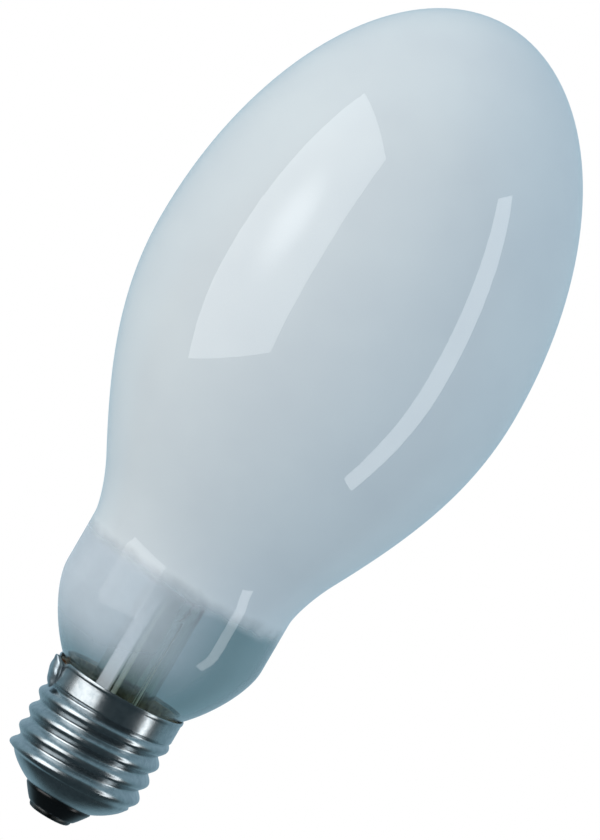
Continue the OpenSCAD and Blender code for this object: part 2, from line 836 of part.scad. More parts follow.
bulb_envelope();
phosphor_coating();
cap_shell();
cap_insulator();
centre_contact();
contact_solder();
side_solder();
cement_ring();
stem();
exhaust_tube();
centre_lead();
side_lead();
frame_wire();
support_lead();
dome_spring();
arc_tube();
upper_electrode();
lower_electrode();
starting_electrode();
upper_foil();
lower_foil();
starting_foil();
upper_lead();
lower_lead();
starting_lead();
upper_strap();
lower_strap();
upper_ribbon();
lower_ribbon();
starting_ribbon();
resistor_body();
resistor_ends();
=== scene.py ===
# High intensity discharge lamp, standing on its centre contact with its dome up, in metres.
from math import atan2, ceil, cos, pi, radians, sin, sqrt

import bpy
from mathutils import Matrix, Vector, noise


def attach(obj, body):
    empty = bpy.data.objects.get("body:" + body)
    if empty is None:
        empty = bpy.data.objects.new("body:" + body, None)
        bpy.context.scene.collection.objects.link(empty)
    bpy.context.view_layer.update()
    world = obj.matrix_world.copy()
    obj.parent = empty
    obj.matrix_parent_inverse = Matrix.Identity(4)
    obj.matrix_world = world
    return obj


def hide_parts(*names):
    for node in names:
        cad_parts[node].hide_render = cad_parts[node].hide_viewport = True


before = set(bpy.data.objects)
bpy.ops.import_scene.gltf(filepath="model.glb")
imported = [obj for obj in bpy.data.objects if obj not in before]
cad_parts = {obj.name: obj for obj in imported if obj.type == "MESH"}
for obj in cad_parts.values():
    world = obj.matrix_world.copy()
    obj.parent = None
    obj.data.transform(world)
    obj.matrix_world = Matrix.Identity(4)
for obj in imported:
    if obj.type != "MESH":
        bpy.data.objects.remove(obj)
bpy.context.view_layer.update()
scene = bpy.context.scene
scene.view_settings.view_transform = "Standard"

# The photograph's view. The lamp's axis rises to the right across the picture, with the dome
# leaning a little towards a camera that stands far off, so that the picture is nearly flat.
camera_turn = radians(248)
camera_rise = radians(6.7)
axis_slope = radians(59.8)
camera_away = 4
picture_height = 0.1544
aim_up = 0.0869
aim_right = 0.00347
forward = -Vector(
    (cos(camera_turn) * cos(camera_rise), sin(camera_turn) * cos(camera_rise), sin(camera_rise))
)
lamp_right = Vector((sin(camera_turn), -cos(camera_turn), 0)) * -1
lamp_up = lamp_right.cross(forward)
aim = Vector((0, 0, aim_up)) + aim_right * lamp_right
picture_right = cos(axis_slope) * lamp_up + sin(axis_slope) * lamp_right
picture_up = sin(axis_slope) * lamp_up - cos(axis_slope) * lamp_right
camera_data = bpy.data.cameras.new("camera")
camera_data.sensor_width = 36
camera_data.lens = camera_data.sensor_width * camera_away / picture_height
camera = bpy.data.objects.new("camera", camera_data)
scene.collection.objects.link(camera)
camera.matrix_world = Matrix.Translation(aim - camera_away * forward) @ Matrix(
    (picture_right, picture_up, -forward)
).transposed().to_4x4()
scene.camera = camera

# The bulb: soda-lime glass, blown in a mould and drawn in at the neck, where it is sealed to the
# stem and cemented into the cap. It is clear, and the white comes from the powder inside it.
MM = 0.001
lamp_len = 169
bulb_r = 37.5
wide_z = 107
neck_r = 20.65
neck_low_z = 43
neck_high_z = 53
flare_z = 63.6
flare_share = 0.21
slope_share = 0.576
mouth_r = 12.4
mouth_z = 27.3
mouth_angle = 45
root_r = 10.8
root_z = mouth_z - 5.8
seal_z = 13
glass_t = 1
curve_pull = 0.55
body_pull_low = 0.6
body_pull_high = 0.85


def blend(start, start_angle, end, end_angle, start_pull=curve_pull, end_pull=curve_pull, steps=24):
    """Points from start to end, leaving and arriving at angles from the axis."""
    start, end = Vector(start), Vector(end)
    leave = Vector((sin(radians(start_angle)), cos(radians(start_angle))))
    arrive = Vector((sin(radians(end_angle)), cos(radians(end_angle))))
    corner = start + leave * (end - start).cross(arrive) / leave.cross(arrive)
    first, second = start.lerp(corner, start_pull), end.lerp(corner, end_pull)
    return [
        (1 - t) ** 3 * start + 3 * t * (1 - t) ** 2 * first + 3 * t * t * (1 - t) * second + t**3 * end
        for t in (i / steps for i in range(steps + 1))
    ]


def inset(outline, depth):
    """The outline moved in from the outside, square to itself."""
    moved = []
    for i, point in enumerate(outline):
        along = (outline[min(i + 1, len(outline) - 1)] - outline[max(i - 1, 0)]).normalized()
        moved.append(point - depth * Vector((along.y, -along.x)))
    return moved


flare_point = (neck_r + flare_share * (bulb_r - neck_r), flare_z)
flare_angle = 90 - atan2(slope_share * (wide_z - flare_z), bulb_r - flare_point[0]) * 180 / pi
dome_h = lamp_len - wide_z
dome_steps = 40
bulb_outline = (
    [Vector((root_r, seal_z)), Vector((root_r, (seal_z + root_z) / 2))]
    + blend((root_r, root_z), 0, (mouth_r, mouth_z), mouth_angle, steps=10)[:-1]
    + blend((mouth_r, mouth_z), mouth_angle, (neck_r, neck_low_z), 0)
    + blend((neck_r, neck_high_z), 0, flare_point, flare_angle, steps=16)[:-1]
    + blend(flare_point, flare_angle, (bulb_r, wide_z), 0, body_pull_low, body_pull_high, steps=36)[:-1]
    + [
        Vector((bulb_r * cos(a), wide_z + dome_h * sin(a)))
        for a in (pi / 2 * i / dome_steps for i in range(dome_steps + 1))
    ]
)


def turned(name, outline, steps=192):
    """A piece spun round the lamp's axis from an open outline, with its faces outwards."""
    bpy.ops.object.select_all(action="DESELECT")
    bpy.ops.mesh.primitive_circle_add(vertices=len(outline), radius=1)
    piece = bpy.context.object
    piece.name = piece.data.name = name
    for vertex, (r, z) in zip(piece.data.vertices, outline):
        vertex.co = (max(r, 0) * MM, 0, z * MM)
    ends = {0, len(outline) - 1}
    for vertex in piece.data.vertices:
        vertex.select = False
    for edge in piece.data.edges:
        edge.select = set(edge.vertices) == ends
    bpy.context.tool_settings.mesh_select_mode = (False, True, False)
    bpy.ops.object.mode_set(mode="EDIT")
    bpy.ops.mesh.delete(type="EDGE_FACE")
    bpy.ops.mesh.select_all(action="SELECT")
    bpy.ops.mesh.spin(steps=steps, angle=2 * pi, center=(0, 0, 0), axis=(0, 0, 1))
    bpy.ops.mesh.select_all(action="SELECT")
    bpy.ops.mesh.remove_doubles(threshold=1e-6)
    bpy.ops.mesh.normals_make_consistent(inside=False)
    bpy.ops.object.mode_set(mode="OBJECT")
    bpy.ops.object.shade_smooth()
    return piece


def thicken(piece, wall):
    """Gives a turned skin its wall, inwards."""
    bpy.context.view_layer.objects.active = piece
    wall_modifier = piece.modifiers.new("wall", "SOLIDIFY")
    wall_modifier.thickness = wall * MM
    wall_modifier.offset = -1
    bpy.ops.object.modifier_apply(modifier=wall_modifier.name)


def paint(piece, material):
    """Gives a piece or a carried-over node one material."""
    piece.data.materials.clear()
    piece.data.materials.append(material)


def finish(piece, material, slot, *nodes):
    """Paints a piece, rides it and hides the CAD nodes it stands for."""
    paint(piece, material)
    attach(piece, "root")
    if nodes:
        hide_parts(*nodes)


def linear(colour):
    """An sRGB hex colour as linear red, green, blue and alpha."""
    parts = [int(colour[i : i + 2], 16) / 255 for i in (0, 2, 4)]
    return [c / 12.92 if c <= 0.04045 else ((c + 0.055) / 1.055) ** 2.4 for c in parts] + [1]


def add(tree, kind, sockets=None, stops=None, **settings):
    """Adds a node. A socket gets a number or colour, or a link from another node's output."""
    made = tree.nodes.new("ShaderNode" + kind)
    for key, value in settings.items():
        setattr(made, key, value)
    for key, value in (sockets or {}).items():
        if isinstance(value, bpy.types.NodeSocket):
            tree.links.new(value, made.inputs[key])
        else:
            made.inputs[key].default_value = value
    if stops:
        while len(made.color_ramp.elements) < len(stops):
            made.color_ramp.elements.new(0.5)
        for element, (place, colour) in zip(made.color_ramp.elements, stops):
            element.position = place
            element.color = colour
    return made


def new_material(name):
    """An empty node material and its tree."""
    made = bpy.data.materials.new(name)
    made.use_nodes = True
    made.node_tree.nodes.clear()
    return made, made.node_tree


def facing(tree, place, turn):
    """How squarely the side of a round piece faces a direction round the axis, from -1 to 1."""
    flat = add(tree, "Mapping", {"Vector": place, "Scale": (1, 1, 0)})
    outwards = add(tree, "VectorMath", {0: flat.outputs["Vector"]}, operation="NORMALIZE")
    return add(
        tree,
        "VectorMath",
        {0: outwards.outputs["Vector"], 1: (cos(turn), sin(turn), 0)},
        operation="DOT_PRODUCT",
    ).outputs["Value"]


def let_light_through(tree, surface, colour):
    """Ends a glass material. Shadow and diffuse rays pass it straight, tinted by its colour."""
    path = add(tree, "LightPath")
    passing = add(
        tree,
        "Math",
        {0: path.outputs["Is Shadow Ray"], 1: path.outputs["Is Diffuse Ray"]},
        operation="MAXIMUM",
    )
    clear = add(tree, "BsdfTransparent", {"Color": linear(colour)})
    lit = add(
        tree,
        "MixShader",
        {"Fac": passing.outputs["Value"], 1: surface.outputs["Shader"], 2: clear.outputs["BSDF"]},
    )
    add(tree, "OutputMaterial", {"Surface": lit.outputs["Shader"]})


# Blown soda-lime glass: clear, with a faint ripple from the blowing. A thin white haze of stray powder
# lies on the neck. How much of it lies round the neck is painted light: it is thickest on the lit side,
# which the turn below points to, and thins out round to the shaded side, so that one side of the neck
# shows light and the other dark.
haze_colour = linear("C9D4DA")
haze_lit_side_turn = radians(190)
haze_low_z = 28
haze_full_z = 40
haze_thin_z = 49.5
haze_end_z = 53.5
# The haze on the shaded side and on the lit side. The difference between them is painted light.
haze_on_shaded_side = 0.02
haze_on_lit_side = 0.6
blown_glass, tree = new_material("blown soda-lime glass")
place = add(tree, "TexCoord").outputs["Object"]
ripple = add(tree, "TexNoise", {"Vector": place, "Scale": 60, "Detail": 1})
ripple_bump = add(
    tree, "Bump", {"Height": ripple.outputs["Fac"], "Strength": 0.06, "Distance": 0.2 * MM}
)
glass = add(
    tree,
    "BsdfPrincipled",
    {
        "Base Color": linear("F8FCFB"),
        "Roughness": 0.01,
        "IOR": 1.51,
        "Transmission Weight": 1,
        "Normal": ripple_bump.outputs["Normal"],
    },
)
parts = add(tree, "SeparateXYZ", {"Vector": place})
# Painted light: the haze's share by side, most where the neck faces the lights and least where it is in
# shade.
painted_light_side_share = add(
    tree,
    "MapRange",
    {
        "Value": facing(tree, place, haze_lit_side_turn),
        "From Min": -0.15,
        "From Max": 0.85,
        "To Min": haze_on_shaded_side,
        "To Max": haze_on_lit_side,
    },
)
low_share = add(
    tree,
    "MapRange",
    {"Value": parts.outputs["Z"], "From Min": haze_low_z * MM, "From Max": haze_full_z * MM},
    interpolation_type="SMOOTHSTEP",
)
high_share = add(
    tree,
    "MapRange",
    {"Value": parts.outputs["Z"], "From Min": haze_end_z * MM, "From Max": haze_thin_z * MM},
    interpolation_type="SMOOTHSTEP",
)
haze_cloud = add(tree, "TexNoise", {"Vector": place, "Scale": 110, "Detail": 3})
haze_and_painted_light = add(
    tree,
    "MapRange",
    {"Value": haze_cloud.outputs["Fac"], "From Min": 0.3, "From Max": 0.7, "To Min": 0.85, "To Max": 1},
).outputs["Result"]
for share in (painted_light_side_share, low_share, high_share):
    thinned = add(tree, "Math", {0: haze_and_painted_light, 1: share.outputs["Result"]}, operation="MULTIPLY")
    haze_and_painted_light = thinned.outputs["Value"]
powder = add(tree, "BsdfDiffuse", {"Color": haze_colour})
haze_and_painted_light_mix = add(
    tree, "MixShader", {"Fac": haze_and_painted_light, 1: glass.outputs["BSDF"], 2: powder.outputs["BSDF"]}
)
let_light_through(tree, haze_and_painted_light_mix, "F6FAFA")

bulb = turned("bulb_glass", bulb_outline)
thicken(bulb, glass_t)
bpy.ops.object.shade_smooth_by_angle(angle=radians(40))
finish(bulb, blown_glass, "glass", "bulb_envelope")

# The coating: white powder washed down the inside of the warm bulb and baked on. It is matt,
# and it thins out in a soft, uneven edge where the neck was wiped clean before sealing.
coat_bed = 0.03
coat_t = 0.3
fade_low_z = 48.6
fade_high_z = 53.2
edge_wander = 0.8
powder_coat, tree = new_material("baked powder coating")
place = add(tree, "TexCoord").outputs["Object"]
cloud = add(tree, "TexNoise", {"Vector": place, "Scale": 45, "Detail": 4, "Roughness": 0.55})
shade = add(
    tree,
    "ValToRGB",
    {"Fac": cloud.outputs["Fac"]},
    stops=[(0.35, linear("D6DBDD")), (0.65, linear("DBE0E1"))],
)
grain = add(tree, "TexNoise", {"Vector": place, "Scale": 2500, "Detail": 2})
grain_bump = add(
    tree, "Bump", {"Height": grain.outputs["Fac"], "Strength": 0.15, "Distance": 0.1 * MM}
)
coat = add(
    tree,
    "BsdfPrincipled",
    {
        "Base Color": shade.outputs["Color"],
        "Roughness": 0.9,
        "IOR": 1.3,
        "Normal": grain_bump.outputs["Normal"],
    },
)
parts = add(tree, "SeparateXYZ", {"Vector": place})
edge_cloud = add(tree, "TexNoise", {"Vector": place, "Scale": 160, "Detail": 4})
wander = add(
    tree,
    "MapRange",
    {
        "Value": edge_cloud.outputs["Fac"],
        "From Min": 0.3,
        "From Max": 0.7,
        "To Min": -edge_wander * MM,
        "To Max": edge_wander * MM,
    },
)
height = add(tree, "Math", {0: parts.outputs["Z"], 1: wander.outputs["Result"]}, operation="ADD")
cover = add(
    tree,
    "MapRange",
    {"Value": height.outputs["Value"], "From Min": fade_low_z * MM, "From Max": fade_high_z * MM},
    interpolation_type="SMOOTHSTEP",
)
bare = add(tree, "BsdfTransparent")
faded = add(
    tree,
    "MixShader",
    {"Fac": cover.outputs["Result"], 1: bare.outputs["BSDF"], 2: coat.outputs["BSDF"]},
)
add(tree, "OutputMaterial", {"Surface": faded.outputs["Shader"]})
coat_outline = [p for p in inset(bulb_outline, glass_t - coat_bed) if p.y > neck_high_z]
coat_rings = (fade_low_z - edge_wander, 50.4, neck_high_z)
coat_outline = [Vector((coat_outline[0].x, z)) for z in coat_rings] + coat_outline
coat_outline[-1].x = 0
coating = turned("powder_coating", coat_outline)
thicken(coating, coat_t)
finish(coating, powder_coat, "coating", "phosphor_coating")

# The stem: a tube of lead glass flared out to meet the neck, with its upper end pressed flat while hot
# to grip the leads, and the thinner exhaust tube that the bulb was pumped through. Fine draw lines run
# along the glass. A narrow pale strip on it is a painted highlight: a matt white film that stands in
# for the reflection of the light on the left.
stem_r = 6.1
stem_t = 1
stem_curve_h = 7
taper_z = 44
press_flat_z = 49
press_top_z = 56
press_half_t = 2.4
press_round = 0.4
press_squareness = 6
cavity_top_z = 47.5
cavity_half_t = 2.2
exhaust_r = 2
exhaust_t = 0.8
stem_rings = (54, 52, 50, 49, 48, 47, 46, 45, 44.5, 44, 36, 28)
bore_rings = (28, 36, 44, 44.5, 45, 46, 47)
# Painted highlight: where the pale strip lies round the stem and how high it reaches, on the side where
# the left light's reflection falls.
painted_highlight_turn = radians(213)
painted_highlight_full_z = 33
painted_highlight_end_z = 52
painted_highlight_most = 0.75
stem_glass, tree = new_material("pressed lead glass")
place = add(tree, "TexCoord").outputs["Object"]
draw = add(tree, "Mapping", {"Vector": place, "Scale": (1, 1, 0.02)})
draw_lines = add(tree, "TexNoise", {"Vector": draw.outputs["Vector"], "Scale": 900, "Detail": 2})
draw_bump = add(
    tree, "Bump", {"Height": draw_lines.outputs["Fac"], "Strength": 0.5, "Distance": 0.15 * MM}
)
glass = add(
    tree,
    "BsdfPrincipled",
    {
        "Base Color": linear("DDE3DA"),
        "Roughness": 0.03,
        "IOR": 1.56,
        "Transmission Weight": 1,
        "Normal": draw_bump.outputs["Normal"],
    },
)
parts = add(tree, "SeparateXYZ", {"Vector": place})
painted_light_side_share = add(
    tree,
    "MapRange",
    {
        "Value": facing(tree, place, painted_highlight_turn),
        "From Min": 0.955,
        "From Max": 0.98,
        "To Min": 0,
        "To Max": painted_highlight_most,
    },
    interpolation_type="SMOOTHSTEP",
)
high_share = add(
    tree,
    "MapRange",
    {"Value": parts.outputs["Z"], "From Min": painted_highlight_end_z * MM, "From Max": painted_highlight_full_z * MM},
)
painted_highlight = add(
    tree,
    "Math",
    {0: painted_light_side_share.outputs["Result"], 1: high_share.outputs["Result"]},
    operation="MULTIPLY",
)
# The painted highlight's colour, a matt white.
painted_highlight_film = add(tree, "BsdfDiffuse", {"Color": linear("E4E8F0")})
painted_highlight_mix = add(
    tree,
    "MixShader",
    {"Fac": painted_highlight.outputs["Value"], 1: glass.outputs["BSDF"], 2: painted_highlight_film.outputs["BSDF"]},
)
let_light_through(tree, painted_highlight_mix, "E6EAE4")

flare_in = blend((root_r - glass_t, seal_z), -90, (stem_r, seal_z + stem_curve_h), 0, steps=14)
flare_under = inset(flare_in, stem_t)
stem_outline = (
    [Vector((r, press_top_z)) for r in (0, stem_r * 0.5, stem_r - press_round)]
    + [Vector((stem_r, press_top_z - press_round))]
    + [Vector((stem_r, z)) for z in stem_rings]
    + flare_in[::-1]
    + [Vector((root_r, seal_z)), Vector((root_r, seal_z - stem_t))]
    + flare_under
    + [Vector((stem_r - stem_t, z)) for z in bore_rings]
    + [Vector((r, cavity_top_z)) for r in (stem_r - stem_t, stem_r * 0.4, 0)]
)
stem = turned("stem_glass", stem_outline, steps=96)
for vertex in stem.data.vertices:
    height, across = vertex.co.z / MM, vertex.co.y / MM
    if height <= taper_z:
        continue
    in_bore = sqrt(vertex.co.x**2 + vertex.co.y**2) / MM < stem_r - stem_t / 2
    inside = in_bore and height < press_top_z - 1
    flat_at, half_t = (cavity_top_z, cavity_half_t) if inside else (press_flat_z, press_half_t)
    share = min(1, (height - taper_z) / (flat_at - taper_z))
    limit = stem_r + (half_t - stem_r) * share
    squash = (1 + abs(across / limit) ** press_squareness) ** (1 / press_squareness)
    vertex.co.y = MM * across / squash
bpy.ops.object.shade_smooth_by_angle(angle=radians(50))
finish(stem, stem_glass, "glass", "stem")

# The exhaust tube, melted shut at its tip and a hair short of the press at its top.
tip_z = seal_z - stem_t
exhaust_rings = [22, 34, cavity_top_z - 0.05]
exhaust_outline = (
    [
        Vector((exhaust_r * sin(a), tip_z + exhaust_r * (1 - cos(a))))
        for a in (pi / 2 * i / 10 for i in range(11))
    ]
    + [Vector((exhaust_r, z)) for z in exhaust_rings]
    + [Vector((exhaust_r - exhaust_t, z)) for z in exhaust_rings[::-1] + [tip_z + 2.4]]
    + [Vector((0.6, tip_z + 1.7)), Vector((0, tip_z + 1.4))]
)
exhaust = turned("exhaust_tube_glass", exhaust_outline, steps=64)
bpy.ops.object.shade_smooth_by_angle(angle=radians(50))
finish(exhaust, stem_glass, "glass", "exhaust_tube")

# The leads: thin copper wires from the press down to the contact and out to the side of the cap.
# They are drawn and left bare, so they are dull and browned where the stem was sealed.
copper, tree = new_material("drawn copper wire")
place = add(tree, "TexCoord").outputs["Object"]
patches = add(tree, "TexNoise", {"Vector": place, "Scale": 350, "Detail": 3})
tarnish = add(
    tree,
    "ValToRGB",
    {"Fac": patches.outputs["Fac"]},
    stops=[(0.3, linear("6E4A36")), (0.7, linear("B77A56"))],
)
wire = add(
    tree, "BsdfPrincipled", {"Base Color": tarnish.outputs["Color"], "Metallic": 1, "Roughness": 0.38}
)
add(tree, "OutputMaterial", {"Surface": wire.outputs["BSDF"]})


def rounded_copy(node, name, angle=40):
    """A node's own shape, merged so that its round faces can be shaded smooth."""
    bpy.ops.object.select_all(action="DESELECT")
    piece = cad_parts[node].copy()
    piece.data = piece.data.copy()
    piece.parent = None
    piece.name = piece.data.name = name
    for key in [k for k in piece.keys() if k.startswith("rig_")]:
        del piece[key]
    scene.collection.objects.link(piece)
    piece.select_set(True)
    bpy.context.view_layer.objects.active = piece
    bpy.ops.object.mode_set(mode="EDIT")
    bpy.ops.mesh.select_all(action="SELECT")
    bpy.ops.mesh.remove_doubles(threshold=1e-6)
    bpy.ops.object.mode_set(mode="OBJECT")
    bpy.ops.object.shade_smooth_by_angle(angle=radians(angle))
    return piece


finish(rounded_copy("side_lead", "side_lead_wire", 50), copper, "copper", "side_lead")

# The lead to the contact is tinned, so it is bright and pale.
tinned, tree = new_material("tinned copper wire")
place = add(tree, "TexCoord").outputs["Object"]
streaks = add(tree, "Mapping", {"Vector": place, "Scale": (1, 1, 0.1)})
patches = add(tree, "TexNoise", {"Vector": streaks.outputs["Vector"], "Scale": 1500, "Detail": 2})
tone = add(
    tree,
    "ValToRGB",
    {"Fac": patches.outputs["Fac"]},
    stops=[(0.3, linear("C9CCCD")), (0.7, linear("E9EAEA"))],
)
wire = add(
    tree, "BsdfPrincipled", {"Base Color": tone.outputs["Color"], "Metallic": 1, "Roughness": 0.35}
)
add(tree, "OutputMaterial", {"Surface": wire.outputs["BSDF"]})
finish(rounded_copy("centre_lead", "centre_lead_wire", 50), tinned, "copper", "centre_lead")

# The frame: nickel wire bent by hand round a jig, the support lead beside it, the leaf spring that
# steadies them in the dome, and the pressed straps and ribbons that are welded on.
nickel_wire, tree = new_material("drawn nickel wire")
place = add(tree, "TexCoord").outputs["Object"]
patches = add(tree, "TexNoise", {"Vector": place, "Scale": 260, "Detail": 4})
tone = add(
    tree,
    "ValToRGB",
    {"Fac": patches.outputs["Fac"]},
    stops=[(0.3, linear("8F9396")), (0.7, linear("B4B6B6"))],
)
wire = add(
    tree, "BsdfPrincipled", {"Base Color": tone.outputs["Color"], "Metallic": 1, "Roughness": 0.33}
)
add(tree, "OutputMaterial", {"Surface": wire.outputs["BSDF"]})
for node in ("frame_wire", "support_lead"):
    finish(rounded_copy(node, node + "_smooth"), nickel_wire, "support_metal", node)

# Rolled strip, with fine lines along the way it was rolled
strip_metal, tree = new_material("rolled nickel strip")
place = add(tree, "TexCoord").outputs["Object"]
draw = add(tree, "Mapping", {"Vector": place, "Scale": (0.1, 1, 1)})
lines = add(tree, "TexNoise", {"Vector": draw.outputs["Vector"], "Scale": 3000, "Detail": 2})
rough = add(tree, "MapRange", {"Value": lines.outputs["Fac"], "To Min": 0.22, "To Max": 0.42})
tone = add(
    tree,
    "ValToRGB",
    {"Fac": lines.outputs["Fac"]},
    stops=[(0.3, linear("9FA3A6")), (0.7, linear("B9BBBC"))],
)
strip = add(
    tree,
    "BsdfPrincipled",
    {"Base Color": tone.outputs["Color"], "Metallic": 1, "Roughness": rough.outputs["Result"]},
)
add(tree, "OutputMaterial", {"Surface": strip.outputs["BSDF"]})
for node in (
    "dome_spring",
    "upper_strap",
    "lower_strap",
    "upper_ribbon",
    "lower_ribbon",
    "starting_ribbon",
):
    paint(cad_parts[node], strip_metal)

# The arc tube: fused quartz, pinched flat while white hot round the foils that carry the current in.
# The electrodes are tungsten, the main ones with coils. The foils, thin enough to seal, and the
# leads that leave the pinches are molybdenum.
quartz, tree = new_material("fused quartz")
place = add(tree, "TexCoord").outputs["Object"]
press_marks = add(tree, "TexNoise", {"Vector": place, "Scale": 300, "Detail": 3})
mark_bump = add(
    tree, "Bump", {"Height": press_marks.outputs["Fac"], "Strength": 0.2, "Distance": 0.1 * MM}
)
glass = add(
    tree,
    "BsdfPrincipled",
    {
        "Base Color": linear("F8FBFC"),
        "Roughness": 0.02,
        "IOR": 1.46,
        "Transmission Weight": 1,
        "Normal": mark_bump.outputs["Normal"],
    },
)
add(tree, "OutputMaterial", {"Surface": glass.outputs["BSDF"]})

tungsten, tree = new_material("swaged tungsten")
place = add(tree, "TexCoord").outputs["Object"]
patches = add(tree, "TexNoise", {"Vector": place, "Scale": 900, "Detail": 4})
tone = add(
    tree,
    "ValToRGB",
    {"Fac": patches.outputs["Fac"]},
    stops=[(0.3, linear("4A4A4C")), (0.7, linear("77777A"))],
)
rod = add(
    tree, "BsdfPrincipled", {"Base Color": tone.outputs["Color"], "Metallic": 1, "Roughness": 0.45}
)
add(tree, "OutputMaterial", {"Surface": rod.outputs["BSDF"]})

molybdenum, tree = new_material("rolled molybdenum foil")
place = add(tree, "TexCoord").outputs["Object"]
draw = add(tree, "Mapping", {"Vector": place, "Scale": (1, 1, 0.1)})
lines = add(tree, "TexNoise", {"Vector": draw.outputs["Vector"], "Scale": 4000, "Detail": 2})
rough = add(tree, "MapRange", {"Value": lines.outputs["Fac"], "To Min": 0.2, "To Max": 0.4})
foil = add(
    tree,
    "BsdfPrincipled",
    {"Base Color": linear("A9ABB0"), "Metallic": 1, "Roughness": rough.outputs["Result"]},
)
add(tree, "OutputMaterial", {"Surface": foil.outputs["BSDF"]})

for material, nodes in (
    (quartz, ("arc_tube",)),
    (tungsten, ("upper_electrode", "lower_electrode", "starting_electrode")),
    (molybdenum, ("upper_foil", "lower_foil", "starting_foil")),
    (molybdenum, ("upper_lead", "lower_lead", "starting_lead")),
):
    for node in nodes:
        paint(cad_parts[node], material)

# The starting resistor: a ceramic rod with a fired coat of lacquer and a pressed cup on each end.
fired_ceramic, tree = new_material("lacquered ceramic")
place = add(tree, "TexCoord").outputs["Object"]
specks = add(tree, "TexNoise", {"Vector": place, "Scale": 1500, "Detail": 3})
tone = add(
    tree,
    "ValToRGB",
    {"Fac": specks.outputs["Fac"]},
    stops=[(0.35, linear("CFCABA")), (0.65, linear("E0DCD0"))],
)
body = add(
    tree,
    "BsdfPrincipled",
    {"Base Color": tone.outputs["Color"], "Roughness": 0.5, "Coat Weight": 0.3, "Coat Roughness": 0.2},
)
add(tree, "OutputMaterial", {"Surface": body.outputs["BSDF"]})
finish(rounded_copy("resistor_body", "resistor_rod"), fired_ceramic, "ceramic_body", "resistor_body")
finish(rounded_copy("resistor_ends", "resistor_cups"), nickel_wire, "support_metal", "resistor_ends")

# The cap: thin brass sheet drawn into a cup, with the right-hand thread rolled in from both sides
# and the rim turned out, then nickel-plated. Its foot grips the black glass.
cap_len = 27.4
cap_t = 0.35
collar_r = 12.95
foot_r = 6.95
foot_z = 4.2
thread_root_r = 12.05
thread_depth = 1.15
thread_pitch = 3.629
thread_turn = 6.6
thread_fade = 0.8
thread_fullness = 0.75
thread_low_z = 7.8
thread_high_z = 23
lip_out = 0.15
lip_h = 0.9
nick_depth = 0.7
nick_turn = 180
nick_reach = 15
shoulder_step = 0.3
shoulder_low_angle = 66
shoulder_high_angle = 34
shoulder_end = (thread_root_r - shoulder_step, thread_low_z)
cap_shoulder = blend(
    (foot_r, foot_z), shoulder_low_angle, shoulder_end, shoulder_high_angle, steps=16
)
rows_per_turn = 20
thread_rows = ceil((thread_high_z - thread_low_z) / thread_pitch * rows_per_turn)
cap_columns = 180
collar_gap = 0.15
collar_rows = 6


def ramp(x):
    """A soft step from 0 to 1."""
    x = min(1, max(0, x))
    return x * x * (3 - 2 * x)


def cap_side(turn, sink):
    """The cap's section at an angle in degrees, with its skin sunk by some of the sheet."""
    side = inset(cap_shoulder, sink)[:-1]
    for i in range(thread_rows + 1):
        z = thread_low_z + (thread_high_z - thread_low_z) * i / thread_rows
        plain = shoulder_end[0] + (collar_r - shoulder_end[0]) * i / thread_rows
        phase = 2 * pi * (z / thread_pitch + (thread_turn - turn) / 360)
        wave = ((1 + cos(phase)) / 2) ** thread_fullness
        share = ramp((z - thread_low_z) / thread_fade) * ramp((thread_high_z - z) / thread_fade)
        r = plain + (thread_root_r + thread_depth * wave - plain) * share
        side.append(Vector((r - sink, z + (0.4 * sink if i == 0 else 0))))
    drop = nick_depth * ramp(2 - abs(turn - nick_turn) / (nick_reach / 2))
    collar_low = thread_high_z + collar_gap
    collar_high = cap_len - lip_h - nick_depth - collar_gap
    side += [
        Vector((collar_r - sink, collar_low + (collar_high - collar_low) * i / collar_rows))
        for i in range(collar_rows + 1)
    ]
    # Each point of the rolled rim: share of its overhang, share of its height and share of the sheet
    roll = [
        (0, 1, 1), (0.12, 0.9, 1), (0.35, 0.82, 1), (0.62, 0.72, 1), (0.85, 0.6, 1), (1, 0.45, 1),
        (1, 0.32, 0.95), (0.97, 0.2, 0.85), (0.88, 0.1, 0.75), (0.72, 0.03, 0.65), (0.5, 0, 0.55),
    ]
    side += [
        Vector((collar_r + lip_out * out - sink * skin, cap_len - lip_h * down - drop))
        for out, down, skin in roll
    ]
    return side


cap_points = []
for column in range(cap_columns):
    turn = 360 * column / cap_columns
    loop = cap_side(turn, 0) + cap_side(turn, cap_t)[::-1]
    angle = radians(turn)
    cap_points += [(p.x * cos(angle) * MM, p.x * sin(angle) * MM, p.y * MM) for p in loop]
loop_len = len(loop)
cap_faces = [
    (
        column * loop_len + i,
        (column + 1) % cap_columns * loop_len + i,
        (column + 1) % cap_columns * loop_len + (i + 1) % loop_len,
        column * loop_len + (i + 1) % loop_len,
    )
    for column in range(cap_columns)
    for i in range(loop_len)
]
cap_mesh = bpy.data.meshes.new("screw_shell")
cap_mesh.from_pydata(cap_points, [], cap_faces)
cap = bpy.data.objects.new("screw_shell", cap_mesh)
scene.collection.objects.link(cap)
bpy.ops.object.select_all(action="DESELECT")
cap.select_set(True)
bpy.context.view_layer.objects.active = cap
bpy.ops.object.shade_smooth_by_angle(angle=radians(50))

